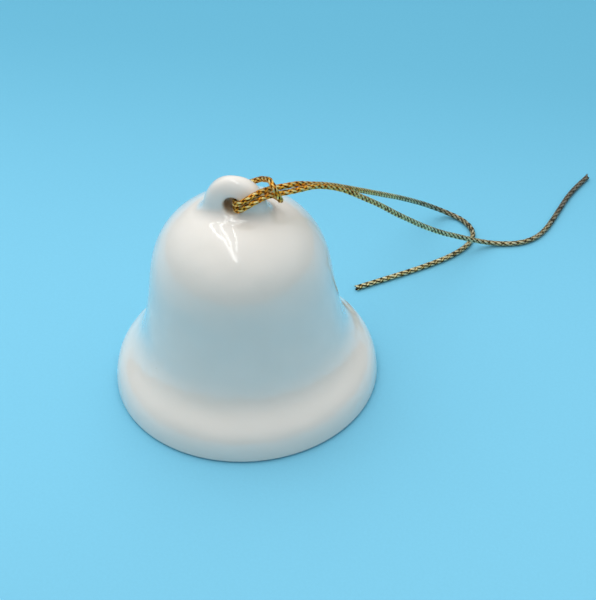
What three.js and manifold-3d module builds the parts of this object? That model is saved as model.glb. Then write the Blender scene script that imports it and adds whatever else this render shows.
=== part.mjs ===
// Small porcelain bell ornament: a cast bell with a pierced hanging lug on its crown, a bead clapper
// hung inside it on a jump ring and a wire, and a metallic braid tied through the lug with a girth hitch.
// Millimetres, +Z up. The origin is the centre of the foot ring, on the surface that the bell stands on.
import * as THREE from 'three';
import { mergeVertices } from 'three/addons/utils/BufferGeometryUtils.js';
import Module from 'manifold-3d';

const wasm = await Module();
wasm.setup();

// ---- driving dimensions ----
const RIM_R = 29.97;          // widest radius, at the lip
const CROWN_Z = 47.9;         // top of the crown, under the lug
const WALL = 2.6;             // wall thickness of the casting
const CROWN_WALL = 3.0;       // wall thickness at the crown
const FOOT_IN_R = 27.15;      // inner edge of the flat foot ring
const FOOT_OUT_R = 29.25;     // outer edge of the flat foot ring
const BELL_SEGMENTS = 48;

const LUG = { x0: -0.3, base: 45.2, root: 46, top: 56, halfWidth: 7.3, halfThick: 3.4, fillet: 2.0 };
const LUG_HOLE = { x: -0.35, z: 50.4, r: 1.75, flare: 1.0 };

const TAB = { halfThick: 1.2, r: 3.0, topHalf: 4.2, topZ: 46, holeZ: 41.1, holeR: 1.5 };  // clapper staple inside the crown
const LINK = { wire: 0.4, R: 3.4, topZ: 40.55 };             // jump ring, centre of its wire at the top
const EYE = { wire: 0.4, R: 2.0, topZ: 34.85 };              // eye of the clapper wire
const BEAD = { r: 5.0, z: 9.5, bore: 0.75 };
const STOP = { R: 0.9, z: 2.9 };                             // curl that holds the bead on the wire

const CORD_D = 1.15;
const CORD_SIDES = 8;

// Centreline of the braid, in two lengths that meet inside the lug's hole. The short one leaves the hole at the
// front, runs round the lug's side and out to its cut end. The long one leaves the hole at the back, makes the
// bight of the hitch over both tails, comes back through the hole and runs out to the other cut end.
const SHORT_TAIL = [
  [0.12, -0.15, 51.15], [0.15, -1.52, 51.11], [0.44, -2.9, 51.22], [1.26, -3.78, 51.86], [2.43, -3.83, 52.64], [3.59, -3.26, 53.26],
  [4.95, -1.96, 53.63], [6.37, -0.01, 53.38], [8.5, 1.63, 53.17], [10.87, 3.24, 52.89], [12.7, 5.41, 51.86], [14.74, 8.15, 49.96],
  [16.49, 11.83, 47.32], [18.68, 18.12, 42.3], [20.45, 24.6, 36.94], [22.02, 31.1, 31.54], [23.55, 37.59, 26.12], [25.18, 44.07, 20.72],
  [27.06, 50.46, 15.29], [29.41, 56.6, 9.8], [31.72, 60.77, 5.76], [33.46, 62.79, 3.51], [35.06, 63.85, 2.04], [37.1, 64.19, 0.98],
  [39.28, 63.48, 0.61], [41.25, 62, 0.6], [43.01, 59.72, 0.62], [43.74, 56.94, 0.61], [43.22, 54.07, 0.61], [41.64, 51.13, 0.62],
  [38.52, 47.45, 0.62], [32.96, 42.64, 0.62], [26.09, 37.48, 0.62], [19.14, 32.44, 0.61],
];
const HITCH_AND_LONG_TAIL = [
  [0.12, 0.15, 51.15], [0.08, 1.64, 51.18], [0.46, 3.17, 51.35], [1.7, 4.09, 51.7], [3.18, 4.29, 52.28], [4.75, 3.87, 53.29],
  [6.02, 2.72, 54.24], [6.96, 1.61, 55.06], [7.91, 0.29, 55.17], [8.82, -0.6, 54.14], [9.42, -0.52, 52.59], [9.59, 0.29, 51.06],
  [9.16, 1.85, 49.9], [7.83, 3.36, 49.37], [5.86, 4.16, 49.27], [3.81, 4.4, 49.31], [2.16, 4.22, 49.41], [0.74, 3.4, 49.55],
  [0.14, 1.86, 49.62], [0.12, 0.15, 49.62], [0.15, -1.59, 49.61], [0.71, -3.18, 49.81], [1.95, -3.99, 50.6], [3.34, -3.88, 51.59],
  [4.89, -3.1, 52.37], [6.45, -1.45, 52.53], [8.02, 0.31, 52.18], [10.7, 2.1, 51.91], [13.71, 4.63, 51.36], [16.26, 7.71, 50.02],
  [19.19, 11.15, 47.4], [22.36, 15.4, 43.03], [25.5, 20.55, 37.25], [28.23, 25.82, 31.22], [30.8, 31.16, 25.17], [33.45, 36.57, 19.22],
  [36.38, 42.02, 13.46], [39.85, 47.43, 8.1], [43.01, 51.15, 4.5], [45.74, 53.35, 2.33], [48.74, 54.79, 1], [52.2, 55.64, 0.6],
  [55.7, 56.73, 0.61], [58.6, 58.91, 0.6], [60.59, 61.97, 0.61], [62.06, 66.12, 0.62], [64.04, 73.71, 0.61], [66.32, 80.6, 0.62],
  [68.92, 86.2, 0.61],
];

// outer profile of the bell, [radius, height]
const OUTER = [
  [FOOT_OUT_R, 0], [29.72, 0.35], [RIM_R, 1.6], [29.72, 3.4], [29.25, 5.0], [28.45, 6.45], [27.1, 8.0],
  [25.8, 9.35], [24.65, 10.8], [23.72, 12.4], [22.85, 14.7], [22.1, 18.2], [21.33, 22.6], [20.72, 26.8],
  [20.13, 31.2], [19.52, 34.2], [18.58, 37.1], [17.12, 39.9], [15.2, 42.3], [12.8, 44.35], [10.1, 46.0],
  [7.0, 47.15], [3.6, 47.75], [0, CROWN_Z],
];

// ---- helpers ----
function toSolid(geometry) {
  const g = geometry.clone();
  for (const name of Object.keys(g.attributes)) if (name !== 'position') g.deleteAttribute(name);
  const m = mergeVertices(g, 1e-4);
  const idx = m.index.array;
  const tris = [];
  for (let i = 0; i < idx.length; i += 3) {
    const [a, b, c] = [idx[i], idx[i + 1], idx[i + 2]];
    if (a !== b && b !== c && a !== c) tris.push(a, b, c);
  }
  const make = (t) => new wasm.Manifold(new wasm.Mesh({
    numProp: 3, vertProperties: new Float32Array(m.attributes.position.array), triVerts: new Uint32Array(t),
  }));
  let volume = 0;
  const p = m.attributes.position.array;
  for (let i = 0; i < tris.length; i += 3) {
    const [a, b, c] = [tris[i] * 3, tris[i + 1] * 3, tris[i + 2] * 3];
    volume += p[a] * (p[b + 1] * p[c + 2] - p[b + 2] * p[c + 1])
      - p[a + 1] * (p[b] * p[c + 2] - p[b + 2] * p[c])
      + p[a + 2] * (p[b] * p[c + 1] - p[b + 1] * p[c]);
  }
  if (volume < 0) for (let i = 0; i < tris.length; i += 3) [tris[i + 1], tris[i + 2]] = [tris[i + 2], tris[i + 1]];
  return make(tris);
}

function toGeometry(solid) {
  const mesh = solid.getMesh();
  const n = mesh.numProp;
  const pos = new Float32Array((mesh.vertProperties.length / n) * 3);
  for (let i = 0; i < pos.length / 3; i++) for (let k = 0; k < 3; k++) pos[i * 3 + k] = mesh.vertProperties[i * n + k];
  const g = new THREE.BufferGeometry();
  g.setAttribute('position', new THREE.BufferAttribute(pos, 3));
  g.setIndex(new THREE.BufferAttribute(new Uint32Array(mesh.triVerts), 1));
  g.computeVertexNormals();
  return g;
}

// a profile of [radius, height] pairs turned about the vertical axis
function turned(profile, segments) {
  const g = new THREE.LatheGeometry(profile.map(([r, z]) => new THREE.Vector2(r, z)), segments);
  g.rotateX(Math.PI / 2);
  return g;
}

function ring(R, wire, sides, segments) {
  return new THREE.TorusGeometry(R, wire, sides, segments);
}

// ---- bell casting ----
const spline = new THREE.SplineCurve(OUTER.map(([r, z]) => new THREE.Vector2(r, z)));
const FINE = 400;
const outerFine = spline.getSpacedPoints(FINE);
const outer = OUTER.map(([r, z]) => [r, z]);
const inner = [];
for (let i = 28; i <= FINE; i += 19) {
  const p = outerFine[i];
  const a = outerFine[Math.max(i - 1, 0)];
  const b = outerFine[Math.min(i + 1, FINE)];
  const d = new THREE.Vector2().subVectors(b, a).normalize();
  const t = THREE.MathUtils.lerp(WALL, CROWN_WALL, THREE.MathUtils.smoothstep(p.y, 30, CROWN_Z));
  const q = [p.x - d.y * t, p.y + d.x * t];
  if (q[0] > 0.8 && q[1] > 1.2) inner.push(q);
}
const profile = [[0, CROWN_Z - CROWN_WALL], ...inner.reverse(), [27.3, 1.1], [FOOT_IN_R + 0.02, 0.35], [FOOT_IN_R + 0.15, 0], ...outer];

// lug: an upright rounded tab, its outline and thickness changing with height, filleted into the crown
function lugHalf(z) {
  const s = THREE.MathUtils.clamp((z - LUG.root) / (LUG.top - LUG.root), 0, 1);
  const fillet = (zc) => {
    const h = THREE.MathUtils.clamp(z - zc, 0, LUG.fillet);
    return LUG.fillet - Math.sqrt(LUG.fillet ** 2 - (LUG.fillet - h) ** 2);
  };
  return [
    LUG.halfWidth * Math.sqrt(1 - s ** 2.25) + fillet(45.75),
    LUG.halfThick * Math.sqrt(1 - s ** 3) + fillet(47.15),
  ];
}
function lugGeometry() {
  const g = new THREE.SphereGeometry(1, 28, 20);
  const p = g.attributes.position;
  const round = (v) => Math.sign(v) * Math.abs(v) ** (2 / 2.6);
  for (let i = 0; i < p.count; i++) {
    const [x, y, z] = [p.getX(i), p.getY(i), p.getZ(i)];
    const s = 1 - Math.acos(THREE.MathUtils.clamp(y, -1, 1)) / Math.PI;   // 0 at the bottom, 1 at the top
    const flat = 0.1;
    const h = s <= flat ? 0 : Math.sin(((s - flat) / (1 - flat)) * Math.PI / 2) ** 1.15;
    const height = LUG.base + (LUG.top - LUG.base) * h;
    const spread = s <= flat ? s / flat : 1;
    const len = Math.hypot(x, z);
    const [a, b] = lugHalf(height);
    const c = len > 1e-9 ? round(x / len) : 0;
    const d = len > 1e-9 ? round(z / len) : 0;
    const tip = s > 0.9999 ? 0 : 1;
    p.setXYZ(i, LUG.x0 + a * c * spread * tip, -b * d * spread * tip, height);
  }
  return g;
}
const holeProfile = [[0, -7]];
for (const y of [-7, -3.4, -3.1, -2.7, -2.3, -1.9, 1.9, 2.3, 2.7, 3.1, 3.4, 7]) {
  const t = THREE.MathUtils.clamp((Math.abs(y) - 1.9) / 1.5, 0, 1);
  holeProfile.push([LUG_HOLE.r + LUG_HOLE.flare * (1 - Math.sqrt(1 - t * t)), y]);
}
holeProfile.push([0, 7]);
const holeGeometry = new THREE.LatheGeometry(holeProfile.map(([r, y]) => new THREE.Vector2(r, y)), 28);
holeGeometry.translate(LUG_HOLE.x, 0, LUG_HOLE.z);

// clapper staple: a thin tab with a hole, hanging from the inside of the crown
const tabShape = new THREE.Shape();
tabShape.moveTo(-TAB.topHalf, TAB.topZ);
tabShape.lineTo(-TAB.r, TAB.holeZ);
tabShape.absarc(0, TAB.holeZ, TAB.r, Math.PI, Math.PI * 2, false);
tabShape.lineTo(TAB.topHalf, TAB.topZ);
tabShape.closePath();
const tabHole = new THREE.Path();
tabHole.absarc(0, TAB.holeZ, TAB.holeR, 0, Math.PI * 2, true);
tabShape.holes.push(tabHole);
const tabGeometry = new THREE.ExtrudeGeometry(tabShape, { depth: TAB.halfThick * 2, bevelEnabled: false, curveSegments: 14 });
tabGeometry.translate(0, 0, -TAB.halfThick);
tabGeometry.rotateX(Math.PI / 2);

const bell = toSolid(turned(profile, BELL_SEGMENTS))
  .add(toSolid(lugGeometry()))
  .add(toSolid(tabGeometry))
  .subtract(toSolid(holeGeometry));

// ---- clapper ----
const linkGeometry = ring(LINK.R, LINK.wire, 8, 24);
linkGeometry.rotateY(Math.PI / 2);
linkGeometry.translate(0, 0, LINK.topZ - LINK.R);

const eyeGeometry = ring(EYE.R, EYE.wire, 8, 18);
eyeGeometry.rotateX(Math.PI / 2);
eyeGeometry.translate(0, 0, EYE.topZ - EYE.R);
const shankTop = EYE.topZ - 2 * EYE.R + 0.1;
const shankBottom = STOP.z + STOP.R - 0.1;
const shank = new THREE.CylinderGeometry(EYE.wire, EYE.wire, shankTop - shankBottom, 8);
shank.rotateX(Math.PI / 2);
shank.translate(0, 0, (shankTop + shankBottom) / 2);
const stop = ring(STOP.R, EYE.wire, 8, 12);
stop.rotateX(Math.PI / 2);
stop.translate(0, 0, STOP.z);
const wire = toSolid(eyeGeometry).add(toSolid(shank)).add(toSolid(stop));

const beadProfile = [];
const a0 = Math.asin(BEAD.bore / BEAD.r);
for (let i = 0; i <= 12; i++) {
  const a = a0 + (Math.PI - 2 * a0) * (i / 12);
  beadProfile.push([BEAD.r * Math.sin(a), -BEAD.r * Math.cos(a)]);
}
beadProfile.push([...beadProfile[0]]);
const beadGeometry = turned(beadProfile, 24);
beadGeometry.translate(0, 0, BEAD.z);

// ---- braid ----
// a smooth line whose extrusion stations are its own control points, close together in the bends and wide apart in the runs
class StationLine extends THREE.CatmullRomCurve3 {
  getPointAt(u, target) { return this.getPoint(u, target); }
  getTangentAt(u, target) { return this.getTangent(u, target); }
}
function cordGeometry(stations) {
  const line = new StationLine(stations.map((p) => new THREE.Vector3(...p)), false, 'centripetal');
  const section = new THREE.Shape();
  for (let i = 0; i < CORD_SIDES; i++) {
    const a = ((i + 0.5) / CORD_SIDES) * Math.PI * 2;
    const [x, y] = [Math.cos(a) * CORD_D / 2, Math.sin(a) * CORD_D / 2];
    if (i === 0) section.moveTo(x, y); else section.lineTo(x, y);
  }
  section.closePath();
  return new THREE.ExtrudeGeometry(section, { steps: stations.length - 1, extrudePath: line, bevelEnabled: false });
}

// ---- materials ----
const porcelain = () => new THREE.MeshStandardMaterial({ color: 0xe9ebe7, roughness: 0.12, metalness: 0 });
const steel = () => new THREE.MeshStandardMaterial({ color: 0xb4b3ad, roughness: 0.3, metalness: 1 });
const braid = () => new THREE.MeshStandardMaterial({ color: 0x9a7a3c, roughness: 0.42, metalness: 0.85 });

const part = new THREE.Group();
function place(name, geometry, material) {
  const mesh = new THREE.Mesh(geometry, material);
  mesh.name = name;
  part.add(mesh);
}
place('bell_shell', toGeometry(bell), porcelain());
place('clapper_link', toGeometry(toSolid(linkGeometry)), steel());
place('clapper_wire', toGeometry(wire), steel());
place('clapper_ball', toGeometry(toSolid(beadGeometry)), porcelain());
place('cord_short_tail', toGeometry(toSolid(cordGeometry(SHORT_TAIL))), braid());
place('cord_hitch_long_tail', toGeometry(toSolid(cordGeometry(HITCH_AND_LONG_TAIL))), braid());

export default part;
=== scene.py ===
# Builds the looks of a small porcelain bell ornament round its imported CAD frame. Metres, +Z up.
import math

import bpy
import numpy as np
from mathutils import Matrix, Vector


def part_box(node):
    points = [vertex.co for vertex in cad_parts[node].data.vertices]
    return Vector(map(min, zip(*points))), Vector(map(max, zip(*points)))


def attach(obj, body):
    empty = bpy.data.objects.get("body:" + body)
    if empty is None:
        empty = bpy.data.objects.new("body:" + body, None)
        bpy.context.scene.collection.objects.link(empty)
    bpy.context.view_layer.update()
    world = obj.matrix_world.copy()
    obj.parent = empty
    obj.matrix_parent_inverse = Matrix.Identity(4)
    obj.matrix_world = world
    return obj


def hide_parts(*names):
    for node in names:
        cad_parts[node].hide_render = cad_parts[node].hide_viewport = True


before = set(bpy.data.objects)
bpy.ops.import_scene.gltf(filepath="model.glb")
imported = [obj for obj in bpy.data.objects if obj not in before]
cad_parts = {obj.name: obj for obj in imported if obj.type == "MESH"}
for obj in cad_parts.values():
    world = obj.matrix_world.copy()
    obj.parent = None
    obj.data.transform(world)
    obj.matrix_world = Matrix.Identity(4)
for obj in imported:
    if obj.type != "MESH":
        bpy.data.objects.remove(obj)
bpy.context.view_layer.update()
MM = 0.001
scene = bpy.context.scene
scene.view_settings.view_transform = "Standard"
scene.view_settings.look = "None"

# ------------------------------------------------------------------ camera
cam_data = bpy.data.cameras.new("camera")
cam_data.lens = 120
cam_data.sensor_width = 36
cam_data.sensor_fit = "AUTO"
cam_data.clip_start, cam_data.clip_end = 0.01, 20
cam_data.dof.use_dof = False
camera = bpy.data.objects.new("camera", cam_data)
scene.collection.objects.link(camera)
CAMERA_AXES = Matrix((
    (0.976038, 0.215630, -0.029202),
    (-0.119928, 0.645052, 0.754669),
    (0.181566, -0.733084, 0.655455),
))  # rows: right, up, back
camera.matrix_world = Matrix.Translation(Vector((0.09336, -0.32560, 0.31461))) @ CAMERA_AXES.transposed().to_4x4()
scene.camera = camera

# ------------------------------------------------------------------ the braid's route, in millimetres, as in the CAD
# From the short tail's cut end, up to the lug, through its hole at index HOLE, round the hitch's bight, back
# through the hole, and out along the long tail to its cut end.
ROUTE = [
    (19.14, 32.44, 0.61), (19.54, 32.73, 0.61), (20.35, 33.32, 0.62), (21.16, 33.91, 0.62), (21.97, 34.50, 0.62), (22.78, 35.09, 0.62),
    (23.59, 35.68, 0.62), (24.40, 36.26, 0.62), (25.21, 36.85, 0.62), (26.03, 37.44, 0.62), (26.84, 38.02, 0.62), (27.64, 38.61, 0.62),
    (28.45, 39.21, 0.62), (29.26, 39.80, 0.62), (30.06, 40.40, 0.62), (30.86, 41.01, 0.62), (31.65, 41.62, 0.62), (32.44, 42.23, 0.62),
    (33.23, 42.85, 0.62), (34.01, 43.48, 0.62), (34.79, 44.11, 0.62), (35.55, 44.75, 0.62), (36.31, 45.41, 0.62), (37.06, 46.07, 0.62),
    (37.80, 46.75, 0.62), (38.52, 47.45, 0.62), (39.22, 48.16, 0.62), (39.90, 48.90, 0.62), (40.54, 49.66, 0.62), (41.16, 50.45, 0.62),
    (41.74, 51.27, 0.62), (42.27, 52.12, 0.62), (42.76, 53.00, 0.62), (43.16, 53.91, 0.61), (43.48, 54.86, 0.61), (43.67, 55.84, 0.61),
    (43.74, 56.84, 0.61), (43.66, 57.83, 0.62), (43.42, 58.80, 0.62), (43.02, 59.71, 0.62), (42.50, 60.56, 0.62), (41.87, 61.34, 0.61),
    (41.17, 62.07, 0.60), (40.41, 62.73, 0.60), (39.58, 63.31, 0.60), (38.70, 63.77, 0.65), (37.77, 64.08, 0.79), (36.84, 64.20, 1.06),
    (35.96, 64.13, 1.47), (35.14, 63.88, 1.98), (34.42, 63.51, 2.56), (33.77, 63.05, 3.18), (33.19, 62.53, 3.82), (32.66, 61.97, 4.46),
    (32.17, 61.38, 5.11), (31.71, 60.77, 5.76), (31.29, 60.14, 6.41), (30.89, 59.49, 7.06), (30.51, 58.82, 7.71), (30.15, 58.15, 8.35),
    (29.81, 57.46, 9.00), (29.48, 56.77, 9.64), (29.17, 56.07, 10.29), (28.87, 55.37, 10.93), (28.58, 54.66, 11.58), (28.29, 53.94, 12.22),
    (28.02, 53.23, 12.86), (27.76, 52.50, 13.50), (27.50, 51.78, 14.14), (27.26, 51.05, 14.78), (27.01, 50.32, 15.42), (26.78, 49.58, 16.06),
    (26.55, 48.84, 16.69), (26.32, 48.10, 17.33), (26.10, 47.35, 17.96), (25.88, 46.61, 18.59), (25.67, 45.86, 19.22), (25.46, 45.11, 19.85),
    (25.26, 44.36, 20.48), (25.06, 43.60, 21.11), (24.86, 42.85, 21.74), (24.66, 42.10, 22.37), (24.47, 41.34, 23.00), (24.28, 40.59, 23.63),
    (24.09, 39.83, 24.26), (23.91, 39.08, 24.89), (23.72, 38.32, 25.52), (23.54, 37.56, 26.15), (23.36, 36.81, 26.78), (23.18, 36.05, 27.41),
    (23.00, 35.29, 28.04), (22.82, 34.54, 28.67), (22.64, 33.78, 29.30), (22.47, 33.03, 29.93), (22.29, 32.27, 30.57), (22.11, 31.51, 31.20),
    (21.93, 30.76, 31.83), (21.76, 30.00, 32.46), (21.58, 29.24, 33.09), (21.40, 28.48, 33.72), (21.22, 27.73, 34.35), (21.03, 26.97, 34.98),
    (20.85, 26.21, 35.61), (20.66, 25.45, 36.24), (20.47, 24.70, 36.86), (20.28, 23.94, 37.49), (20.09, 23.18, 38.12), (19.89, 22.43, 38.74),
    (19.69, 21.67, 39.37), (19.49, 20.92, 40.00), (19.28, 20.16, 40.62), (19.06, 19.41, 41.24), (18.84, 18.66, 41.86), (18.62, 17.90, 42.48),
    (18.39, 17.15, 43.10), (18.15, 16.40, 43.72), (17.90, 15.64, 44.33), (17.64, 14.89, 44.93), (17.37, 14.13, 45.53), (17.09, 13.38, 46.13),
    (16.80, 12.62, 46.72), (16.50, 11.86, 47.30), (16.18, 11.10, 47.87), (15.85, 10.34, 48.42), (15.49, 9.58, 48.97), (15.11, 8.82, 49.50),
    (14.69, 8.07, 50.01), (14.21, 7.35, 50.52), (13.69, 6.67, 51.01), (13.15, 5.98, 51.49), (12.60, 5.27, 51.94), (12.04, 4.55, 52.35),
    (11.43, 3.82, 52.68), (10.76, 3.14, 52.92), (9.99, 2.52, 53.07), (9.14, 1.99, 53.15), (8.26, 1.49, 53.18), (7.42, 0.96, 53.22),
    (6.68, 0.32, 53.31), (6.05, -0.42, 53.46), (5.48, -1.23, 53.60), (4.88, -2.04, 53.63), (4.19, -2.77, 53.49), (3.44, -3.37, 53.18),
    (2.61, -3.78, 52.74), (1.73, -3.88, 52.19), (0.85, -3.55, 51.55), (0.41, -2.84, 51.21), (0.19, -2.00, 51.12), (0.13, -1.03, 51.12),
    (0.12, -0.00, 51.15), (0.08, 1.01, 51.16), (0.11, 2.01, 51.20), (0.34, 2.93, 51.30), (0.88, 3.66, 51.48), (1.71, 4.09, 51.71),
    (2.64, 4.27, 52.02), (3.52, 4.27, 52.47), (4.32, 4.09, 52.99), (5.01, 3.69, 53.47), (5.63, 3.13, 53.91), (6.21, 2.51, 54.41),
    (6.76, 1.87, 54.91), (7.28, 1.17, 55.23), (7.78, 0.47, 55.23), (8.26, -0.14, 54.89), (8.73, -0.55, 54.28), (9.14, -0.67, 53.47),
    (9.43, -0.51, 52.55), (9.59, -0.11, 51.63), (9.57, 0.51, 50.83), (9.39, 1.29, 50.22), (9.03, 2.11, 49.78), (8.46, 2.85, 49.50),
    (7.71, 3.45, 49.35), (6.81, 3.87, 49.28), (5.84, 4.16, 49.27), (4.83, 4.33, 49.28), (3.81, 4.40, 49.31), (2.78, 4.34, 49.36),
    (1.79, 4.10, 49.44), (0.96, 3.62, 49.53), (0.41, 2.88, 49.59), (0.16, 1.98, 49.62), (0.10, 1.00, 49.63), (0.12, -0.00, 49.62),
    (0.12, -1.07, 49.61), (0.23, -2.10, 49.63), (0.58, -2.98, 49.75), (1.15, -3.64, 50.05), (1.88, -3.98, 50.54), (2.67, -4.02, 51.13),
    (3.50, -3.83, 51.69), (4.33, -3.47, 52.14), (5.10, -2.94, 52.44), (5.79, -2.27, 52.57), (6.41, -1.50, 52.54), (7.03, -0.71, 52.40),
    (7.69, 0.01, 52.24), (8.44, 0.65, 52.12), (9.25, 1.21, 52.04), (10.10, 1.72, 51.97), (10.93, 2.26, 51.88), (11.74, 2.85, 51.77),
    (12.51, 3.48, 51.64), (13.25, 4.16, 51.48), (13.94, 4.88, 51.29), (14.57, 5.63, 51.04), (15.17, 6.38, 50.74), (15.75, 7.10, 50.38),
    (16.33, 7.80, 49.97), (16.92, 8.47, 49.52), (17.50, 9.13, 49.05), (18.07, 9.79, 48.54), (18.61, 10.44, 48.01), (19.14, 11.08, 47.46),
    (19.65, 11.72, 46.88), (20.14, 12.35, 46.28), (20.62, 12.98, 45.66), (21.08, 13.60, 45.02), (21.52, 14.21, 44.36), (21.95, 14.81, 43.69),
    (22.37, 15.42, 43.01), (22.78, 16.02, 42.32), (23.17, 16.63, 41.62), (23.56, 17.23, 40.93), (23.93, 17.85, 40.23), (24.31, 18.47, 39.54),
    (24.67, 19.10, 38.85), (25.03, 19.72, 38.16), (25.39, 20.35, 37.47), (25.73, 20.98, 36.77), (26.08, 21.61, 36.07), (26.41, 22.24, 35.36),
    (26.74, 22.86, 34.65), (27.06, 23.49, 33.94), (27.38, 24.11, 33.22), (27.69, 24.73, 32.50), (28.00, 25.35, 31.77), (28.30, 25.97, 31.05),
    (28.61, 26.59, 30.33), (28.91, 27.21, 29.60), (29.21, 27.84, 28.88), (29.51, 28.47, 28.16), (29.82, 29.10, 27.45), (30.12, 29.73, 26.74),
    (30.43, 30.37, 26.03), (30.74, 31.02, 25.33), (31.05, 31.66, 24.62), (31.35, 32.30, 23.92), (31.66, 32.94, 23.22), (31.97, 33.58, 22.51),
    (32.28, 34.22, 21.81), (32.60, 34.86, 21.10), (32.91, 35.50, 20.40), (33.23, 36.14, 19.69), (33.56, 36.78, 19.00), (33.88, 37.42, 18.30),
    (34.22, 38.06, 17.61), (34.55, 38.71, 16.92), (34.90, 39.36, 16.24), (35.25, 40.00, 15.56), (35.60, 40.65, 14.88), (35.96, 41.30, 14.21),
    (36.33, 41.94, 13.54), (36.71, 42.59, 12.87), (37.09, 43.23, 12.21), (37.49, 43.88, 11.55), (37.89, 44.52, 10.90), (38.30, 45.17, 10.26),
    (38.73, 45.82, 9.63), (39.17, 46.47, 9.01), (39.62, 47.12, 8.40), (40.09, 47.77, 7.79), (40.57, 48.40, 7.19), (41.07, 49.03, 6.58),
    (41.59, 49.64, 5.99), (42.13, 50.25, 5.40), (42.69, 50.84, 4.81), (43.28, 51.41, 4.24), (43.90, 51.97, 3.69), (44.55, 52.51, 3.15),
    (45.25, 53.02, 2.65), (45.99, 53.50, 2.17), (46.78, 53.95, 1.75), (47.61, 54.35, 1.37), (48.50, 54.70, 1.07), (49.42, 55.01, 0.84),
    (50.37, 55.26, 0.70), (51.35, 55.47, 0.62), (52.33, 55.67, 0.60), (53.31, 55.88, 0.60), (54.28, 56.15, 0.60), (55.21, 56.51, 0.61),
    (56.11, 56.95, 0.61), (56.96, 57.47, 0.61), (57.75, 58.08, 0.61), (58.47, 58.77, 0.60), (59.13, 59.53, 0.60), (59.70, 60.35, 0.60),
    (60.21, 61.21, 0.60), (60.65, 62.11, 0.61), (61.04, 63.03, 0.61), (61.39, 63.97, 0.62), (61.70, 64.92, 0.62), (61.99, 65.88, 0.62),
    (62.27, 66.84, 0.62), (62.53, 67.81, 0.62), (62.78, 68.78, 0.62), (63.03, 69.75, 0.61), (63.27, 70.72, 0.61), (63.52, 71.69, 0.61),
    (63.77, 72.66, 0.61), (64.02, 73.63, 0.61), (64.28, 74.60, 0.61), (64.55, 75.56, 0.61), (64.83, 76.52, 0.62), (65.14, 77.48, 0.62),
    (65.46, 78.42, 0.62), (65.82, 79.36, 0.62), (66.19, 80.29, 0.62), (66.59, 81.21, 0.61), (67.00, 82.12, 0.61), (67.42, 83.03, 0.61),
    (67.85, 83.93, 0.60), (68.28, 84.84, 0.60), (68.71, 85.74, 0.60), (68.92, 86.20, 0.61),
]
HOLE = 150
PLAITS = 4           # strands in each direction
PITCH = 7.4          # length of one turn of a strand


def spline_at(t, y, q):
    """Natural cubic spline through (t, y), at q, for y of one or more columns."""
    y = np.asarray(y, float)
    one = y.ndim == 1
    y = y.reshape(len(t), -1)
    h = np.diff(t)
    n = len(t)
    a = np.zeros((n, n))
    b = np.zeros((n, y.shape[1]))
    a[0, 0] = a[-1, -1] = 1
    for i in range(1, n - 1):
        a[i, i - 1], a[i, i], a[i, i + 1] = h[i - 1], 2 * (h[i - 1] + h[i]), h[i]
        b[i] = 6 * ((y[i + 1] - y[i]) / h[i] - (y[i] - y[i - 1]) / h[i - 1])
    m = np.linalg.solve(a, b)
    i = np.clip(np.searchsorted(t, q) - 1, 0, n - 2)
    u = (q - t[i])[:, None]
    w = (t[i + 1] - q)[:, None]
    g = h[i][:, None]
    out = (m[i] * w**3 + m[i + 1] * u**3) / (6 * g) + (y[i] / g - m[i] * g / 6) * w + (y[i + 1] / g - m[i + 1] * g / 6) * u
    return out[:, 0] if one else out


def along(points):
    return np.concatenate([[0], np.cumsum(np.linalg.norm(np.diff(points, axis=0), axis=1))])


def resampled(points, step):
    """The points' smooth line again, at even steps."""
    points = np.asarray(points, float)
    s = along(points)
    fine = spline_at(s, points, np.linspace(0, s[-1], int(s[-1] / (step / 4)) + 1))
    s2 = along(fine)
    q = np.linspace(0, s2[-1], int(round(s2[-1] / step)) + 1)
    return np.stack([np.interp(q, s2, fine[:, k]) for k in range(3)], axis=1)


def axes_along(p):
    """Unit tangents, and two side axes that turn as little as they can along the line."""
    t = np.gradient(p, axis=0)
    t /= np.linalg.norm(t, axis=1)[:, None]
    u = np.zeros_like(p)
    start = np.cross(t[0], (0, 0, 1.0))
    if np.linalg.norm(start) < 1e-3:
        start = np.cross(t[0], (0, 1.0, 0))
    u[0] = start / np.linalg.norm(start)
    for i in range(len(p) - 1):
        v1 = p[i + 1] - p[i]
        c1 = v1 @ v1
        ul = u[i] - 2 / c1 * (v1 @ u[i]) * v1
        tl = t[i] - 2 / c1 * (v1 @ t[i]) * v1
        v2 = t[i + 1] - tl
        c2 = v2 @ v2
        u[i + 1] = ul - (2 / c2 * (v2 @ ul) * v2 if c2 > 1e-14 else 0)
        u[i + 1] -= (u[i + 1] @ t[i + 1]) * t[i + 1]
        u[i + 1] /= np.linalg.norm(u[i + 1])
    return t, u, np.cross(t, u)


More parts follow.
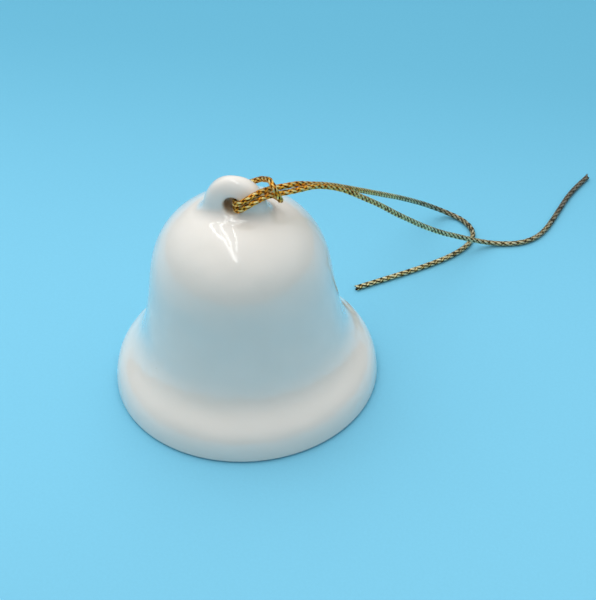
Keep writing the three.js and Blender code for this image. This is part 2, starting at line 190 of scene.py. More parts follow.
class Builder:
    """Gathers vertices, faces, UVs and a value per vertex, and makes one mesh object of them."""

    def __init__(self):
        self.v, self.f, self.uv, self.mat, self.val, self.lift, self.n = [], [], [], [], [], [], 0

    def tube(self, rings, length, value=0.0, mat=0, closed=False, lift=None):
        """rings: (n, m, 3) points round the tube, counter-clockwise seen from its end. length: distance along at each ring."""
        n, m = rings.shape[:2]
        base = self.n
        self.v.append(rings.reshape(-1, 3))
        self.val.append(np.full(n * m, value))
        self.lift.append(np.full(n * m, 0.5) if lift is None else lift.ravel())
        self.n += n * m
        last = n if closed else n - 1
        i = np.repeat(np.arange(last), m)
        j = np.tile(np.arange(m), last)
        i2, j2 = (i + 1) % n, (j + 1) % m
        self.f.append(base + np.stack([i * m + j, i * m + j2, i2 * m + j2, i2 * m + j], axis=1))
        l2 = np.append(length[1:], length[-1] + (length[-1] - length[-2]))[i] if closed else length[i + 1]
        self.uv.append(np.stack([length[i], j / m, length[i], (j + 1) / m, l2, (j + 1) / m, l2, j / m], axis=1).reshape(-1, 4, 2))
        self.mat.append(np.full(len(i), mat))
        if not closed:
            for end, order in ((0, 1), (n - 1, -1)):
                centre = rings[end].mean(0)
                c = self.n
                self.v.append(centre[None])
                self.val.append(np.array([value]))
                self.lift.append(np.array([0.2]))
                self.n += 1
                jj = np.arange(m)
                a, b = (jj + 1) % m, jj
                if order < 0:
                    a, b = b, a
                tri = np.stack([np.full(m, c), base + end * m + a, base + end * m + b], axis=1)
                self.f.append(tri)
                self.uv.append(np.tile(np.array([[length[end], 0.5]]), (m, 3, 1)))
                self.mat.append(np.full(m, mat))

    def object(self, name, materials, smooth=True, sharp_ends=True):
        mesh = bpy.data.meshes.new(name)
        verts = np.concatenate(self.v) * MM
        faces = [tuple(int(x) for x in row) for block in self.f for row in block]
        mesh.from_pydata(verts.tolist(), [], faces)
        uv = mesh.uv_layers.new(name="along")
        flat = np.concatenate([block.reshape(-1, 2) for block in self.uv])
        uv.data.foreach_set("uv", flat.astype(np.float32).ravel())
        mesh.polygons.foreach_set("material_index", np.concatenate(self.mat).astype(np.int32))
        mesh.polygons.foreach_set("use_smooth", np.full(len(mesh.polygons), smooth))
        for label, values in (("strand", self.val), ("lift", self.lift)):
            attribute = mesh.attributes.new(label, "FLOAT", "POINT")
            attribute.data.foreach_set("value", np.concatenate(values).astype(np.float32))
        for m in materials:
            mesh.materials.append(m)
        mesh.update()
        o = bpy.data.objects.new(name, mesh)
        scene.collection.objects.link(o)
        return o


def oval_rings(centre, across, up, half_w, half_t, sides=8):
    a = np.arange(sides) / sides * 2 * math.pi
    c, s = np.cos(a), np.sin(a)
    hw = np.broadcast_to(half_w, len(centre))[:, None, None]
    ht = np.broadcast_to(half_t, len(centre))[:, None, None]
    return centre[:, None, :] + across[:, None, :] * c[None, :, None] * hw + up[:, None, :] * s[None, :, None] * ht


def unit(v):
    return v / np.linalg.norm(v, axis=-1, keepdims=True)


def braid(builders, path, cut):
    """Plaits the strands of the whole cord, and shares them between two builders at distance cut along it."""
    step = path[1] - path[0]
    ds = float(np.linalg.norm(step))
    s = np.arange(len(path)) * ds
    total = s[-1]
    t, u, v = axes_along(path)
    at = int(round(cut / ds))
    rng = np.random.default_rng(7)
    # the plait is a little uneven, as a machine-made metallic cord is
    uneven = np.interp(s, np.linspace(0, total, 60), rng.normal(0, 0.012, 60))
    # the hitch crowds the plait a little fuller than the free tails
    full = 0.03 * np.exp(-((s - cut) / 60) ** 4)
    from_end = np.minimum(s, total - s)
    for direction in (1, -1):
        for k in range(PLAITS):
            r_end = rng.random(2)
            phase = direction * 2 * math.pi * s / PITCH + 2 * math.pi * k / PLAITS + (0.35 if direction < 0 else 0)
            weave = direction * np.cos(math.pi * (2 * PLAITS * s / PITCH - PLAITS * 0.35 / (2 * math.pi)))
            flare = 0.16 * np.clip(1 - from_end / 1.3, 0, 1) ** 2
            radius = 0.49 + 0.06 * weave + uneven + full + flare * (0.6 + 0.8 * r_end[0])
            out = u * np.cos(phase)[:, None] + v * np.sin(phase)[:, None]
            centre = path + out * radius[:, None]
            heading = unit(np.gradient(centre, axis=0))
            up = unit(out - (out * heading).sum(1)[:, None] * heading)
            across = np.cross(up, heading)
            width = 0.255 + 0.012 * np.sin(s * 1.7 + k * 2.1 + direction)
            first, last = int(r_end[0] * 0.5 / ds), len(path) - 1 - int(r_end[1] * 0.5 / ds)
            rings = oval_rings(centre, across, up, width, 0.09)
            rings[:, :, 2] = np.maximum(rings[:, :, 2], 0.012)     # pressed flat where it lies on the table
            value = (k + (0.5 if direction > 0 else 0)) / PLAITS
            # how far each point stands out of the plait, which the braid's colour turns into painted shade in its
            # hollows and painted highlights on its crests
            ridge = np.maximum(np.sin(np.arange(8) / 8 * 2 * math.pi), 0)
            lift = 0.55 * (0.5 + 0.5 * weave)[:, None] + 0.45 * ridge[None, :]
            builders[0].tube(rings[first:at + 1], s[first:at + 1], value, 0, lift=lift[first:at + 1])
            builders[1].tube(rings[at:last + 1], s[at:last + 1], value, 0, lift=lift[at:last + 1])
    core = oval_rings(path, u, v, 0.43, 0.43, 10)
    inset = int(0.35 / ds)
    builders[0].tube(core[inset:at + 1], s[inset:at + 1], 0.5, 1)
    builders[1].tube(core[at:len(path) - inset], s[at:len(path) - inset], 0.5, 1)


# ------------------------------------------------------------------ materials
def new_material(name):
    m = bpy.data.materials.new(name)
    m.use_nodes = True
    nt = m.node_tree
    for n in list(nt.nodes):
        nt.nodes.remove(n)
    out = nt.nodes.new("ShaderNodeOutputMaterial")
    p = nt.nodes.new("ShaderNodeBsdfPrincipled")
    nt.links.new(p.outputs[0], out.inputs["Surface"])
    return m, nt, p


def node(nt, kind, **settings):
    n = nt.nodes.new(kind)
    for key, value in settings.items():
        if key.startswith("in_"):
            n.inputs[key[3:].replace("_", " ")].default_value = value
        else:
            setattr(n, key, value)
    return n


def noise(nt, vector, scale, detail=2.0, rough=0.5, distortion=0.0):
    n = node(nt, "ShaderNodeTexNoise", in_Scale=scale, in_Detail=detail, in_Roughness=rough, in_Distortion=distortion)
    nt.links.new(vector, n.inputs["Vector"])
    return n.outputs["Fac"]


def ramp(nt, fac, stops, interpolation="LINEAR"):
    r = nt.nodes.new("ShaderNodeValToRGB")
    r.color_ramp.interpolation = interpolation
    e = r.color_ramp.elements
    while len(e) < len(stops):
        e.new(0.5)
    for el, (pos, colour) in zip(e, stops):
        el.position = pos
        el.color = (*colour, 1) if len(colour) == 3 else colour
    nt.links.new(fac, r.inputs["Fac"])
    return r.outputs["Color"]


def mix(nt, fac, a, b, blend="MIX"):
    m = nt.nodes.new("ShaderNodeMix")
    m.data_type = "RGBA"
    m.blend_type = blend
    for value, socket in ((fac, m.inputs[0]), (a, m.inputs[6]), (b, m.inputs[7])):
        if isinstance(value, bpy.types.NodeSocket):
            nt.links.new(value, socket)
        elif isinstance(value, (int, float)):
            socket.default_value = value
        else:
            socket.default_value = (*value, 1)
    return m.outputs[2]


def scaled(nt, value, low, high, start=0.0, end=1.0):
    m = nt.nodes.new("ShaderNodeMapRange")
    m.inputs["From Min"].default_value, m.inputs["From Max"].default_value = start, end
    m.inputs["To Min"].default_value, m.inputs["To Max"].default_value = low, high
    nt.links.new(value, m.inputs["Value"])
    return m.outputs["Result"]


def bump(nt, height, distance, strength=1.0, normal=None):
    b = nt.nodes.new("ShaderNodeBump")
    b.inputs["Strength"].default_value = strength
    b.inputs["Distance"].default_value = distance
    nt.links.new(height, b.inputs["Height"])
    if normal is not None:
        nt.links.new(normal, b.inputs["Normal"])
    return b.outputs["Normal"]


def multiply(nt, vector, factors):
    m = nt.nodes.new("ShaderNodeMapping")
    m.inputs["Scale"].default_value = factors
    nt.links.new(vector, m.inputs["Vector"])
    return m.outputs["Vector"]


def porcelain_material(name, bare=False):
    m, nt, p = new_material(name)
    here = nt.nodes.new("ShaderNodeTexCoord").outputs["Object"]
    broad = noise(nt, here, 38, 2)
    fine = noise(nt, here, 900, 3, 0.6)
    if bare:
        grain = noise(nt, here, 5200, 3, 0.65)
        colour = ramp(nt, broad, [(0.3, (0.70, 0.66, 0.58)), (0.7, (0.77, 0.74, 0.67))])
        dirt = ramp(nt, fine, [(0.42, (0.80, 0.77, 0.71)), (0.62, (1, 1, 1))])
        nt.links.new(mix(nt, 0.7, colour, dirt, "MULTIPLY"), p.inputs["Base Color"])
        nt.links.new(scaled(nt, grain, 0.72, 0.92), p.inputs["Roughness"])
        nt.links.new(bump(nt, grain, 0.00004, 0.8), p.inputs["Normal"])
        return m
    colour = ramp(nt, broad, [(0.34, (0.788, 0.768, 0.722)), (0.52, (0.808, 0.788, 0.744)), (0.70, (0.828, 0.808, 0.766))])
    # the odd faint speck in the body, under the glaze
    cells = node(nt, "ShaderNodeTexVoronoi", in_Scale=210.0, in_Randomness=1.0)
    nt.links.new(here, cells.inputs["Vector"])
    speck = ramp(nt, cells.outputs["Distance"], [(0.0, (0.62, 0.56, 0.47)), (0.026, (0.9, 0.88, 0.84)), (0.045, (1, 1, 1))])
    rare = ramp(nt, noise(nt, here, 60, 1), [(0.60, (0, 0, 0)), (0.62, (1, 1, 1))])
    specked = mix(nt, rare, colour, mix(nt, 1.0, colour, speck, "MULTIPLY"))
    # painted shade: the colour is darkened to brown inside the bore of the lug, standing in for its shadow and the
    # braid's reflection there
    shifted = node(nt, "ShaderNodeVectorMath", operation="SUBTRACT")
    nt.links.new(here, shifted.inputs[0])
    shifted.inputs[1].default_value = (-0.00035, 0.0, 0.0504)
    from_axis = node(nt, "ShaderNodeVectorMath", operation="LENGTH")
    nt.links.new(multiply(nt, shifted.outputs["Vector"], (1.0, 0.0, 1.0)), from_axis.inputs[0])
    bore_shade = ramp(nt, scaled(nt, from_axis.outputs["Value"], 0.0, 1.0, 0.0014, 0.0023), [(0.0, (0.30, 0.20, 0.11)), (0.35, (0.56, 0.46, 0.34)), (0.75, (0.92, 0.89, 0.84)), (1.0, (1, 1, 1))])
    nt.links.new(mix(nt, 1.0, specked, bore_shade, "MULTIPLY"), p.inputs["Base Color"])
    nt.links.new(scaled(nt, fine, 0.16, 0.24, 0.3, 0.7), p.inputs["Roughness"])
    # the glaze lies in slow waves, with a faint orange peel over them
    waves = noise(nt, here, 115, 1.5, 0.4)
    peel = noise(nt, here, 620, 2, 0.5)
    n1 = bump(nt, waves, 0.00030, 1.0)
    nt.links.new(bump(nt, peel, 0.000018, 1.0, n1), p.inputs["Normal"])
    ripple = noise(nt, here, 760, 2, 0.55)
    nt.links.new(bump(nt, ripple, 0.000015, 1.0, bump(nt, waves, 0.00034, 1.0)), p.inputs["Coat Normal"])
    p.inputs["Coat Weight"].default_value = 1.0
    p.inputs["Coat Roughness"].default_value = 0.035
    p.inputs["Coat IOR"].default_value = 1.52
    p.inputs["Specular IOR Level"].default_value = 0.35
    p.inputs["Subsurface Weight"].default_value = 0.12
    p.inputs["Subsurface Radius"].default_value = (1.0, 0.9, 0.8)
    p.inputs["Subsurface Scale"].default_value = 0.0012
    return m


def total_of(nt, a, b, operation="ADD"):
    m = nt.nodes.new("ShaderNodeMath")
    m.operation = operation
    for value, socket in ((a, m.inputs[0]), (b, m.inputs[1])):
        if isinstance(value, bpy.types.NodeSocket):
            nt.links.new(value, socket)
        else:
            socket.default_value = value
    return m.outputs[0]


def braid_material(name):
    m, nt, p = new_material(name)
    coords = nt.nodes.new("ShaderNodeTexCoord")
    uv, here = coords.outputs["UV"], coords.outputs["Object"]
    strand = node(nt, "ShaderNodeAttribute", attribute_name="strand").outputs["Fac"]
    lift = node(nt, "ShaderNodeAttribute", attribute_name="lift").outputs["Fac"]
    # foil-wrapped filaments lie along each strand; the foil shows brighter and duller flats; the colour is painted dark
    # in the hollows (painted shade) and pale on the crests (painted highlights)
    flats = noise(nt, multiply(nt, uv, (1.1, 3.0, 1.0)), 1.0, 3, 0.65)
    runs = noise(nt, here, 420, 2, 0.6)
    filaments = node(nt, "ShaderNodeTexWave", wave_type="BANDS", bands_direction="Y", in_Scale=1.6, in_Distortion=1.2, in_Detail=2.0)
    nt.links.new(multiply(nt, uv, (0.35, 3.0, 1.0)), filaments.inputs["Vector"])
    # one set of strands is painted lighter and the crossing set darker, so they show light and dark in turn: painted
    # light and shade
    turn = nt.nodes.new("ShaderNodeMath")
    turn.operation = "MULTIPLY_ADD"
    nt.links.new(strand, turn.inputs[0])
    turn.inputs[1].default_value, turn.inputs[2].default_value = PLAITS, 0.1
    part = nt.nodes.new("ShaderNodeMath")
    part.operation = "FRACT"
    nt.links.new(turn.outputs[0], part.inputs[0])
    set_light_shade = scaled(nt, part.outputs[0], -0.16, 0.16, 0.30, 0.40)
    shine = total_of(nt, total_of(nt, lift, set_light_shade), total_of(nt, scaled(nt, flats, -0.34, 0.34, 0.25, 0.75), scaled(nt, runs, -0.16, 0.16, 0.3, 0.7)))
    # each ramp below turns this into painted shade at its low end (dark brown) and painted glints at its top (pale
    # cream)
    gold = ramp(nt, shine, [(0.18, (0.035, 0.008, 0.001)), (0.40, (0.40, 0.115, 0.005)), (0.60, (0.97, 0.37, 0.016)), (0.80, (1.0, 0.59, 0.085)), (0.96, (1.0, 0.83, 0.38))])
    dull = ramp(nt, shine, [(0.26, (0.012, 0.008, 0.004)), (0.46, (0.078, 0.054, 0.020)), (0.59, (0.27, 0.175, 0.050)), (0.69, (0.90, 0.68, 0.26)), (0.82, (1.0, 0.94, 0.62))])
    far_shaded = ramp(nt, shine, [(0.25, (0.040, 0.036, 0.028)), (0.55, (0.135, 0.120, 0.095)), (0.90, (0.34, 0.31, 0.26))])
    tint = ramp(nt, strand, [(0.0, (1.0, 0.93, 0.80)), (0.45, (0.92, 0.95, 0.90)), (1.0, (1.0, 1.0, 1.0))])
    # painted light and shade along one cord: bright orange gold near the lug, duller and olive along the free span,
    # darker and greyer towards its far end
    far = nt.nodes.new("ShaderNodeSeparateXYZ")
    nt.links.new(here, far.inputs[0])
    dull_light = node(nt, "ShaderNodeMath", operation="MAXIMUM")
    nt.links.new(scaled(nt, far.outputs["X"], 0.0, 1.0, 0.019, 0.036), dull_light.inputs[0])
    nt.links.new(scaled(nt, far.outputs["Z"], 1.0, 0.0, 0.012, 0.036), dull_light.inputs[1])
    far_shade_mask = scaled(nt, far.outputs["Y"], 0.0, 1.0, 0.046, 0.072)
    body = mix(nt, far_shade_mask, mix(nt, dull_light.outputs[0], gold, dull), far_shaded)
    nt.links.new(mix(nt, 1.0, body, tint, "MULTIPLY"), p.inputs["Base Color"])
    nt.links.new(scaled(nt, flats, 0.46, 0.26, 0.35, 0.7), p.inputs["Roughness"])
    n1 = bump(nt, filaments.outputs["Fac"], 0.00003, 0.7)
    nt.links.new(bump(nt, flats, 0.00006, 0.8, n1), p.inputs["Normal"])
    p.inputs["Metallic"].default_value = 0.85
    return m


def core_shade_material(name):
    m, nt, p = new_material(name)
    uv = nt.nodes.new("ShaderNodeTexCoord").outputs["UV"]
    fibre = noise(nt, multiply(nt, uv, (3.0, 18.0, 1.0)), 1.0, 3, 0.6)
    # the core is coloured very dark brown: painted shade that shows in the gaps between the strands
    nt.links.new(ramp(nt, fibre, [(0.3, (0.022, 0.014, 0.006)), (0.7, (0.085, 0.055, 0.022))]), p.inputs["Base Color"])
    nt.links.new(scaled(nt, fibre, 0.8, 0.95), p.inputs["Roughness"])
    nt.links.new(bump(nt, fibre, 0.00005, 0.8), p.inputs["Normal"])
    return m


def wire_material(name):
    m, nt, p = new_material(name)
    coords = nt.nodes.new("ShaderNodeTexCoord")
    uv, here = coords.outputs["UV"], coords.outputs["Object"]
    drawn = noise(nt, multiply(nt, uv, (0.35, 26.0, 1.0)), 1.0, 3, 0.6)
    patches = noise(nt, here, 420, 3, 0.6)
    colour = ramp(nt, patches, [(0.35, (0.40, 0.385, 0.36)), (0.60, (0.60, 0.59, 0.565)), (0.8, (0.68, 0.67, 0.64))])
    nt.links.new(colour, p.inputs["Base Color"])
    nt.links.new(scaled(nt, drawn, 0.18, 0.40, 0.3, 0.7), p.inputs["Roughness"])
    nt.links.new(bump(nt, drawn, 0.00001, 0.7), p.inputs["Normal"])
    p.inputs["Metallic"].default_value = 1.0
    return m


PORCELAIN = porcelain_material("glazed_porcelain")
BARE = porcelain_material("bare_porcelain", bare=True)
GOLD = braid_material("gold_braid")
CORE_SHADE = core_shade_material("braid_core_shade")
WIRE = wire_material("steel_wire")

# ------------------------------------------------------------------ the cord
line = resampled(ROUTE, 0.2)
cut = along(np.asarray(ROUTE, float))[HOLE] * (len(line) - 1) * 0.2 / along(np.asarray(ROUTE, float))[-1]
tail, hitch = Builder(), Builder()
braid((tail, hitch), line, cut)
short_tail = tail.object("braid_short_tail", [GOLD, CORE_SHADE])
long_tail = hitch.object("braid_hitch_long_tail", [GOLD, CORE_SHADE])
index = int(round(cut / (along(line)[-1] / (len(line) - 1))))
short_path = line[: index + 1][::-1] * MM
long_path = line[index:] * MM
for piece, cad, path in ((short_tail, "cord_short_tail", short_path), (long_tail, "cord_hitch_long_tail", long_path)):
    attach(piece, "bell")
    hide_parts(cad)

# ------------------------------------------------------------------ the bell casting, as a smooth implicit shape
OUTER = np.array([
    (29.70, -3.0), (29.92, -1.0), (29.99, 0.5), (29.95, 1.8), (29.72, 3.4), (29.25, 5.0), (28.45, 6.45), (27.1, 8.0),
    (25.8, 9.35), (24.65, 10.8), (23.72, 12.4), (22.85, 14.7), (22.1, 18.2), (21.33, 22.6), (20.72, 26.8), (20.13, 31.2),
    (19.52, 34.2), (18.58, 37.1), (17.12, 39.9), (15.2, 42.3), (12.8, 44.35), (10.1, 46.0), (7.0, 47.15), (3.6, 47.75),
    (0.0, 47.9), (-3.6, 47.75), (-7.0, 47.15), (-10.1, 46.0),
])
POLE = 20.0


def smoothed(y, sigma, step):
    k = np.arange(-int(3 * sigma / step), int(3 * sigma / step) + 1) * step
    w = np.exp(-(k**2) / (2 * sigma**2))
    w /= w.sum()
    pad = len(k) // 2
    y = np.concatenate([2 * y[0] - y[pad:0:-1], y, 2 * y[-1] - y[-2:-pad - 2:-1]])
    return np.convolve(y, w, "valid")


def smoothstep(x, a, b):
    t = np.clip((x - a) / (b - a), 0, 1)
    return t * t * (3 - 2 * t)


def polar_table(r, z):
    keep = r > -1.0
    angle, reach = np.arctan2(r[keep], z[keep] - POLE), np.hypot(r[keep], z[keep] - POLE)
    order = np.argsort(angle)
    angle, reach = angle[order], reach[order]
    q = np.linspace(-0.02, angle[-1], 6000)
    p = np.interp(q, angle, reach)
    slope = np.gradient(p, q)
    return q, p, 1 / np.sqrt(1 + (slope / p) ** 2)


s_out = along(OUTER)
fine_s = np.arange(0, s_out[-1], 0.05)
rz = spline_at(s_out, OUTER, fine_s)
r_out, z_out = smoothed(rz[:, 0], 0.8, 0.05), smoothed(rz[:, 1], 0.8, 0.05)
dr, dz = np.gradient(r_out), np.gradient(z_out)
size = np.hypot(dr, dz)
wall = 2.6 + 0.4 * smoothstep(z_out, 30, 47.9)
r_in, z_in = r_out - dz / size * wall, z_out + dr / size * wall
OUT_TABLE = polar_table(r_out, z_out)
IN_TABLE = polar_table(r_in, z_in)


def off_profile(table, r, z):
    q, p, cosine = table
    angle = np.arctan2(r, z - POLE)
    return (np.hypot(r, z - POLE) - np.interp(angle, q, p)) * np.interp(angle, q, cosine)


def smax(a, b, k):
    h = np.maximum(k - np.abs(a - b), 0) / k
    return np.maximum(a, b) + h * h * k / 4


def smin(a, b, k):
    return -smax(-a, -b, k)


def lug_value(x, y, z):
    s = np.clip((z - 46.0) / 10.0, 0, 1.35)
    below = np.clip(z - 46.0, None, 0)
    ratio = np.sqrt(np.maximum(1 - np.minimum(s, 0.999) ** 2.25, 1e-9) / np.maximum(1 - np.minimum(s, 0.999) ** 3, 1e-9))
    q = ((np.abs(x) / 7.3) ** 2.6 + (np.abs(y) * ratio / 3.4) ** 2.6) ** (1 / 2.6)
    return np.sqrt(q * q + s**2.25 + 1e-12) - 1 + below * 0


def lug(x, y, z):
    e = 0.02
    f = lug_value(x, y, z)
    g = np.sqrt(
        ((lug_value(x + e, y, z) - lug_value(x - e, y, z)) / (2 * e)) ** 2
        + ((lug_value(x, y + e, z) - lug_value(x, y - e, z)) / (2 * e)) ** 2
        + ((lug_value(x, y, z + e) - lug_value(x, y, z - e)) / (2 * e)) ** 2
    )
    return f / np.maximum(g, 0.03)


def staple(x, y, z):
    """The tab inside the crown: a round end on flanks that spread upwards, with a hole across it."""
    ax = np.abs(x)
    # flank from (3, 41.1) to (4.2, 46)
    nx, nz = 4.9 / math.hypot(1.2, 4.9), -1.2 / math.hypot(1.2, 4.9)
    flank = (ax - 3.0) * nx + (z - 41.1) * nz
    end = np.hypot(x, z - 41.1) - 3.0
    outline = np.where(z > 41.1, flank, end)
    solid = smax(outline, np.abs(y) - 1.2, 0.5)
    return smax(solid, -(np.hypot(x, z - 41.1) - 1.5), 0.45)


def casting(p):
    x, y, z = p[:, 0], p[:, 1], p[:, 2]
    r = np.hypot(x, y)
    f = smax(off_profile(OUT_TABLE, r, z), -z, 0.8)
    f = smax(f, -off_profile(IN_TABLE, r, z), 0.7)
    # the lug, its root filleted into the crown, and the hole through it with rounded mouths
    high = z > 44.5
    if high.any():
        xl, yl, zl = x[high] + 0.3, y[high], z[high]
        l = smin(f[high], lug(xl, yl, zl), 2.5)
        hole = np.hypot(x[high] + 0.35, zl - 50.4) - 1.75
        weight = smoothstep(zl, 44.5, 45.5)
        l = f[high] * (1 - weight) + l * weight
        f[high] = smax(l, -hole, 1.25)
    inner = (z > 36.5) & (z < 46.2) & (r < 8.5)
    if inner.any():
        t = staple(x[inner], y[inner], z[inner])
        # only inside the crown's cavity, under the middle of its wall
        t = smax(t, z[inner] - 46.0, 0.3)
        f[inner] = smin(f[inner], t, 1.4)
    return f


def gradient(f, p, e=0.03):
    g = np.zeros_like(p)
    for k in range(3):
        d = np.zeros(3)
        d[k] = e
        g[:, k] = (f(p + d) - f(p - d)) / (2 * e)
    return g


def surface_nets(f, low, high, h):
    """A quad mesh of f = 0, one vertex in each cell that the surface crosses."""
    n = [int(math.ceil((b - a) / h)) + 1 for a, b in zip(low, high)]
    xs, ys, zs = (low[k] + h * np.arange(n[k]) for k in range(3))
    values = np.empty(n)
    xx, yy = np.meshgrid(xs, ys, indexing="ij")
    flat = np.stack([xx.ravel(), yy.ravel()], axis=1)
    for k in range(n[2]):
        p = np.column_stack([flat, np.full(len(flat), zs[k])])
        values[:, :, k] = f(p).reshape(n[0], n[1])
    corners = [(a, b, c) for a in (0, 1) for b in (0, 1) for c in (0, 1)]
    at = {c: values[c[0]:n[0] - 1 + c[0], c[1]:n[1] - 1 + c[1], c[2]:n[2] - 1 + c[2]] for c in corners}
    count = sum((at[c] < 0).astype(np.int8) for c in corners)
    mixed = (count > 0) & (count < 8)
    cell = np.argwhere(mixed)
    number = np.full(mixed.shape, -1, np.int64)
    number[mixed] = np.arange(len(cell))
    corner_value = {c: at[c][mixed] for c in corners}
    total, hits = np.zeros((len(cell), 3)), np.zeros(len(cell))
    for c in corners:
        for k in range(3):
            if c[k] == 0:
                d = tuple(1 if i == k else c[i] for i in range(3))
                a, b = corner_value[c], corner_value[d]
                cross = (a < 0) != (b < 0)
                t = np.where(cross, a / np.where(cross, a - b, 1), 0)
                place = np.tile(np.array(c, float), (len(cell), 1))
                place[:, k] += t
                total[cross] += place[cross]
                hits[cross] += 1
    verts = np.array(low) + h * (cell + total / hits[:, None])
    quads = []
    for axis in range(3):
        b, c = (axis + 1) % 3, (axis + 2) % 3
        lo = [slice(None)] * 3
        hi = [slice(None)] * 3
        lo[axis], hi[axis] = slice(0, n[axis] - 1), slice(1, n[axis])
        first, second = values[tuple(lo)] < 0, values[tuple(hi)] < 0
        change = first != second
        for k in (b, c):
            edge = [slice(None)] * 3
            edge[k] = slice(0, 1)
            change[tuple(edge)] = False
            edge[k] = slice(n[k] - 1, n[k])
            change[tuple(edge)] = False
        i = np.argwhere(change)
        outward = first[change]

        def cell_of(db, dc):
            j = i.copy()
            j[:, b] += db
            j[:, c] += dc
            return number[j[:, 0], j[:, 1], j[:, 2]]

        q = np.stack([cell_of(-1, -1), cell_of(0, -1), cell_of(0, 0), cell_of(-1, 0)], axis=1)
        q[~outward] = q[~outward][:, ::-1]
        quads.append(q)
    return verts, np.concatenate(quads)


def settle(f, verts, quads, rounds):
    """Spreads the vertices evenly over the surface and puts them exactly on it."""
    edges = np.unique(np.sort(np.concatenate([quads[:, [0, 1]], quads[:, [1, 2]], quads[:, [2, 3]], quads[:, [3, 0]]]), axis=1), axis=0)
    degree = np.bincount(edges.ravel(), minlength=len(verts))[:, None]
    for turn in range(rounds + 1):
        for _ in range(3 if turn == rounds else 1):
            g = gradient(f, verts)
            length = (g * g).sum(1)[:, None]
            verts = verts - np.clip(f(verts)[:, None] / np.maximum(length, 0.05), -0.3, 0.3) * g
        if turn == rounds:
            break
        mean = np.zeros_like(verts)
        for a, b in ((0, 1), (1, 0)):
            for k in range(3):
                mean[:, k] += np.bincount(edges[:, a], weights=verts[edges[:, b], k], minlength=len(verts))
        move = mean / np.maximum(degree, 1) - verts
        g = unit(gradient(f, verts))
        verts = verts + 0.6 * (move - (move * g).sum(1)[:, None] * g)
    return verts, unit(gradient(f, verts))


GRID = 0.46
verts, quads = surface_nets(casting, (-31.07, -31.07, -0.83), (31.1, 31.1, 57.2), GRID)
verts, normals = settle(casting, verts, quads, 4)
mesh = bpy.data.meshes.new("bell_casting")
mesh.from_pydata((verts * MM).tolist(), [], quads.tolist())
mesh.materials.append(PORCELAIN)
mesh.materials.append(BARE)
level = verts[quads][:, :, 2].max(1) < 0.09
mesh.polygons.foreach_set("material_index", level.astype(np.int32))
mesh.polygons.foreach_set("use_smooth", np.ones(len(quads), bool))
mesh.normals_split_custom_set_from_vertices(normals.tolist())
mesh.update()
bell = bpy.data.objects.new("bell_casting", mesh)
scene.collection.objects.link(bell)
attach(bell, "bell")
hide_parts("bell_shell")

# ------------------------------------------------------------------ clapper: jump ring, formed wire, bead
def wire_object(name, centre, radius, body, node_name, ends=True, sides=16):
    p = resampled(centre, 0.12)
    t, u, v = axes_along(p)
    s = along(p)
    r = np.full(len(p), radius)
    if ends:  # the cut ends are slightly rounded over
        for k, share in ((0, 0.72), (1, 0.93)):
            r[k] = r[-1 - k] = radius * share
    b = Builder()
    b.tube(oval_rings(p, u, v, r, r, sides), s)
    o = b.object(name, [WIRE])
    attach(o, body)
    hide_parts(node_name)
    return o


low, high = (np.array(c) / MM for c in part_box("clapper_link"))
ring_z, ring_r, wire_r = (low[2] + high[2]) / 2, 3.4, 0.4
a = np.radians(np.linspace(-62, 293.5, 90))
jump_ring = wire_object("jump_ring", np.column_stack([0.05 * np.sin((a + 1.08) / 2), ring_r * np.cos(a), ring_z + ring_r * np.sin(a)]), wire_r, "link", "clapper_link")

low, high = (np.array(c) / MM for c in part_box("clapper_wire"))
eye_r, eye_z = 2.0, high[2] - 2.4
curl_r, curl_z = 0.9, low[2] + 1.3
pts = [(eye_r * math.cos(x), 0, eye_z + eye_r * math.sin(x)) for x in np.radians(np.arange(-66, 236, 8))]
pts += [(-0.62, 0, eye_z - 2.16), (-0.16, 0, eye_z - 2.62), (-0.01, 0, eye_z - 3.2), (0, 0, eye_z - 4.2)]
pts += [(0, 0, z) for z in np.linspace(eye_z - 6, curl_z + 2.6, 12)]
pts += [(0, 0, curl_z + 1.9), (-0.12, 0, curl_z + 1.25)]
pts += [(curl_r * math.cos(x), 0, curl_z + curl_r * math.sin(x)) for x in np.radians(np.arange(135, 436, 20))]
clapper_wire = wire_object("clapper_formed_wire", pts, 0.4, "clapper", "clapper_wire")

low, high = (np.array(c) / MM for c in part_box("clapper_ball"))
bead_z, bead_r, bore = (low[2] + high[2]) / 2, 5.0, 0.75
# outside of the bead from the lower mouth to the upper one, then back down the bore, as one closed profile
edge = 0.28
a0 = math.asin((bore + edge) / bead_r)
outside = [(bead_r * math.sin(x), -bead_r * math.cos(x)) for x in np.linspace(a0, math.pi - a0, 61)]
mouth = bead_r * math.cos(a0)
lip = [(bore + edge - edge * math.sin(x), mouth - edge * (1 - math.cos(x))) for x in np.linspace(0.3, math.pi / 2, 6)]
profile = outside + lip + [(bore, z) for z in np.linspace(mouth - edge - 0.6, -mouth + edge + 0.6, 9)] + [(r, -z) for r, z in reversed(lip)]
profile = np.array(profile)
turn = np.arange(72) / 72 * 2 * math.pi
rng = np.random.default_rng(3)
wobble = sum(rng.normal(0, 0.012) * np.cos(k * turn + rng.uniform(0, 6.28)) for k in (2, 3, 4, 5))
rings = np.zeros((len(profile), 72, 3))
rings[:, :, 0] = (profile[:, 0, None] + wobble * np.clip((profile[:, 0, None] - 1.5) / 3, 0, 1)) * np.cos(turn)
rings[:, :, 1] = (profile[:, 0, None] + wobble * np.clip((profile[:, 0, None] - 1.5) / 3, 0, 1)) * np.sin(turn)
rings[:, :, 2] = profile[:, 1, None] + bead_z
b = Builder()
b.tube(rings, along(profile), closed=True)
bead = b.object("clapper_bead", [PORCELAIN])
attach(bead, "clapper")
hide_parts("clapper_ball")

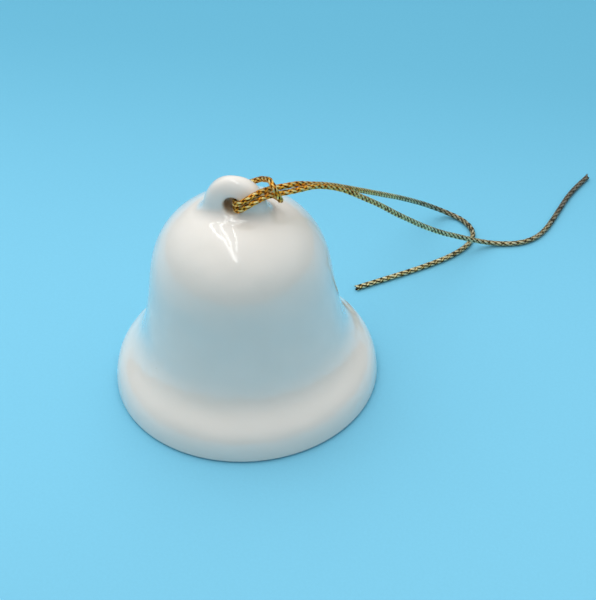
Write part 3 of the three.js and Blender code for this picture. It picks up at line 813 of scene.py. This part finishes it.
# ------------------------------------------------------------------ floor and light
def floor_material():
    m, nt, p = new_material("pale_card")
    here = nt.nodes.new("ShaderNodeTexCoord").outputs["Object"]
    fibre = noise(nt, here, 1500, 4, 0.7)
    cloud = noise(nt, here, 6, 2)
    colour = ramp(nt, fibre, [(0.3, FLOOR_DARK), (0.7, FLOOR_LIGHT)])
    soft = ramp(nt, cloud, [(0.3, (0.985, 0.99, 0.992)), (0.7, (1, 1, 1))])
    # painted light: the card's colour darkens towards the back and in front of the view, standing in for the light
    # falling off
    axes = nt.nodes.new("ShaderNodeSeparateXYZ")
    nt.links.new(here, axes.inputs[0])
    back = ramp(nt, scaled(nt, axes.outputs["Y"], 0.0, 1.0, -0.42, 0.24), [(0.0, (0.66, 0.66, 0.66)), (0.50, (1, 1, 1)), (0.636, (1, 1, 1)), (0.727, (0.93, 0.955, 0.965)), (0.829, (0.585, 0.735, 0.765)), (1.0, (0.53, 0.69, 0.725))], "B_SPLINE")
    nt.links.new(mix(nt, 1.0, mix(nt, 1.0, colour, soft, "MULTIPLY"), back, "MULTIPLY"), p.inputs["Base Color"])
    nt.links.new(bump(nt, fibre, 0.00003, 0.4), p.inputs["Normal"])
    p.inputs["Roughness"].default_value = 0.85
    p.inputs["Specular IOR Level"].default_value = 0.25
    return m


FLOOR_DARK, FLOOR_LIGHT = (0.183, 0.540, 0.752), (0.192, 0.562, 0.780)
side, cells = 3.0, 12
grid = [(-side + 2 * side * i / cells, -side + 2 * side * j / cells, -0.00004) for i in range(cells + 1) for j in range(cells + 1)]
faces = [(i * (cells + 1) + j, (i + 1) * (cells + 1) + j, (i + 1) * (cells + 1) + j + 1, i * (cells + 1) + j + 1) for i in range(cells) for j in range(cells)]
mesh = bpy.data.meshes.new("floor")
mesh.from_pydata(grid, [], faces)
mesh.materials.append(floor_material())
floor = bpy.data.objects.new("floor", mesh)
scene.collection.objects.link(floor)

world = bpy.data.worlds.new("studio")
scene.world = world
world.use_nodes = True
# a soft dome: bright overhead and dim towards the horizon
sky = world.node_tree
background = sky.nodes["Background"]
towards = sky.nodes.new("ShaderNodeSeparateXYZ")
sky.links.new(sky.nodes.new("ShaderNodeTexCoord").outputs["Generated"], towards.inputs[0])
dome = ramp(sky, towards.outputs["Z"], [(0.0, (0.150, 0.135, 0.122)), (0.25, (0.33, 0.305, 0.280)), (0.5, (0.72, 0.695, 0.665)), (1.0, (1.06, 1.05, 1.03))])
front_dim = ramp(sky, scaled(sky, towards.outputs["Y"], 0.0, 1.0, -1.0, 1.0), [(0.0, (0.72, 0.72, 0.72)), (0.5, (0.96, 0.96, 0.96)), (1.0, (1.0, 1.0, 1.0))])
sky.links.new(mix(sky, 1.0, dome, front_dim, "MULTIPLY"), background.inputs["Color"])
background.inputs["Strength"].default_value = 1.0


def area(name, place, target, width, height, power, colour=(1, 1, 1), spin=0.0):
    data = bpy.data.lights.new(name, "AREA")
    data.shape = "RECTANGLE"
    data.size, data.size_y = width, height
    data.energy = power
    data.color = colour
    o = bpy.data.objects.new(name, data)
    o.location = place
    o.rotation_mode = "QUATERNION"
    o.rotation_quaternion = (Vector(target) - Vector(place)).to_track_quat("-Z", "Y") @ Matrix.Rotation(spin, 4, "Z").to_quaternion()
    scene.collection.objects.link(o)
    return o


overhead = area("soft_overhead", (-0.30, 0.70, 1.35), (0.0, 0.0, 0.0), 2.0, 2.0, 13.5, (0.965, 0.985, 1.0))
overhead.visible_glossy = False
side_light = area("soft_left", (-1.3, 0.1, 0.75), (0.0, 0.0, 0.02), 0.9, 0.9, 1.3)
side_light.visible_glossy = False


def strip(name, far, near, width, radiance):
    """A long narrow light overhead, between two points at one height, which shows as a slanting streak in the glaze."""
    a, b = Vector((*far, 1.35)), Vector((*near, 1.35))
    length = (a - b).length
    o = area(name, (a + b) / 2, (a + b) / 2 - Vector((0, 0, 1)), width, length, radiance * math.pi * width * length, (0.98, 0.99, 1.0))
    o.rotation_quaternion = Matrix.Rotation(math.atan2(b.x - a.x, a.y - b.y), 4, "Z").to_quaternion()
    return o


strip("strip_left", (-0.80, 0.72), (0.030, -0.66), 0.058, 5.0)
strip("strip_middle", (-0.56, 0.62), (0.062, -0.67), 0.054, 4.6)
strip("strip_right", (-0.27, 0.58), (0.085, -0.62), 0.028, 5.5)
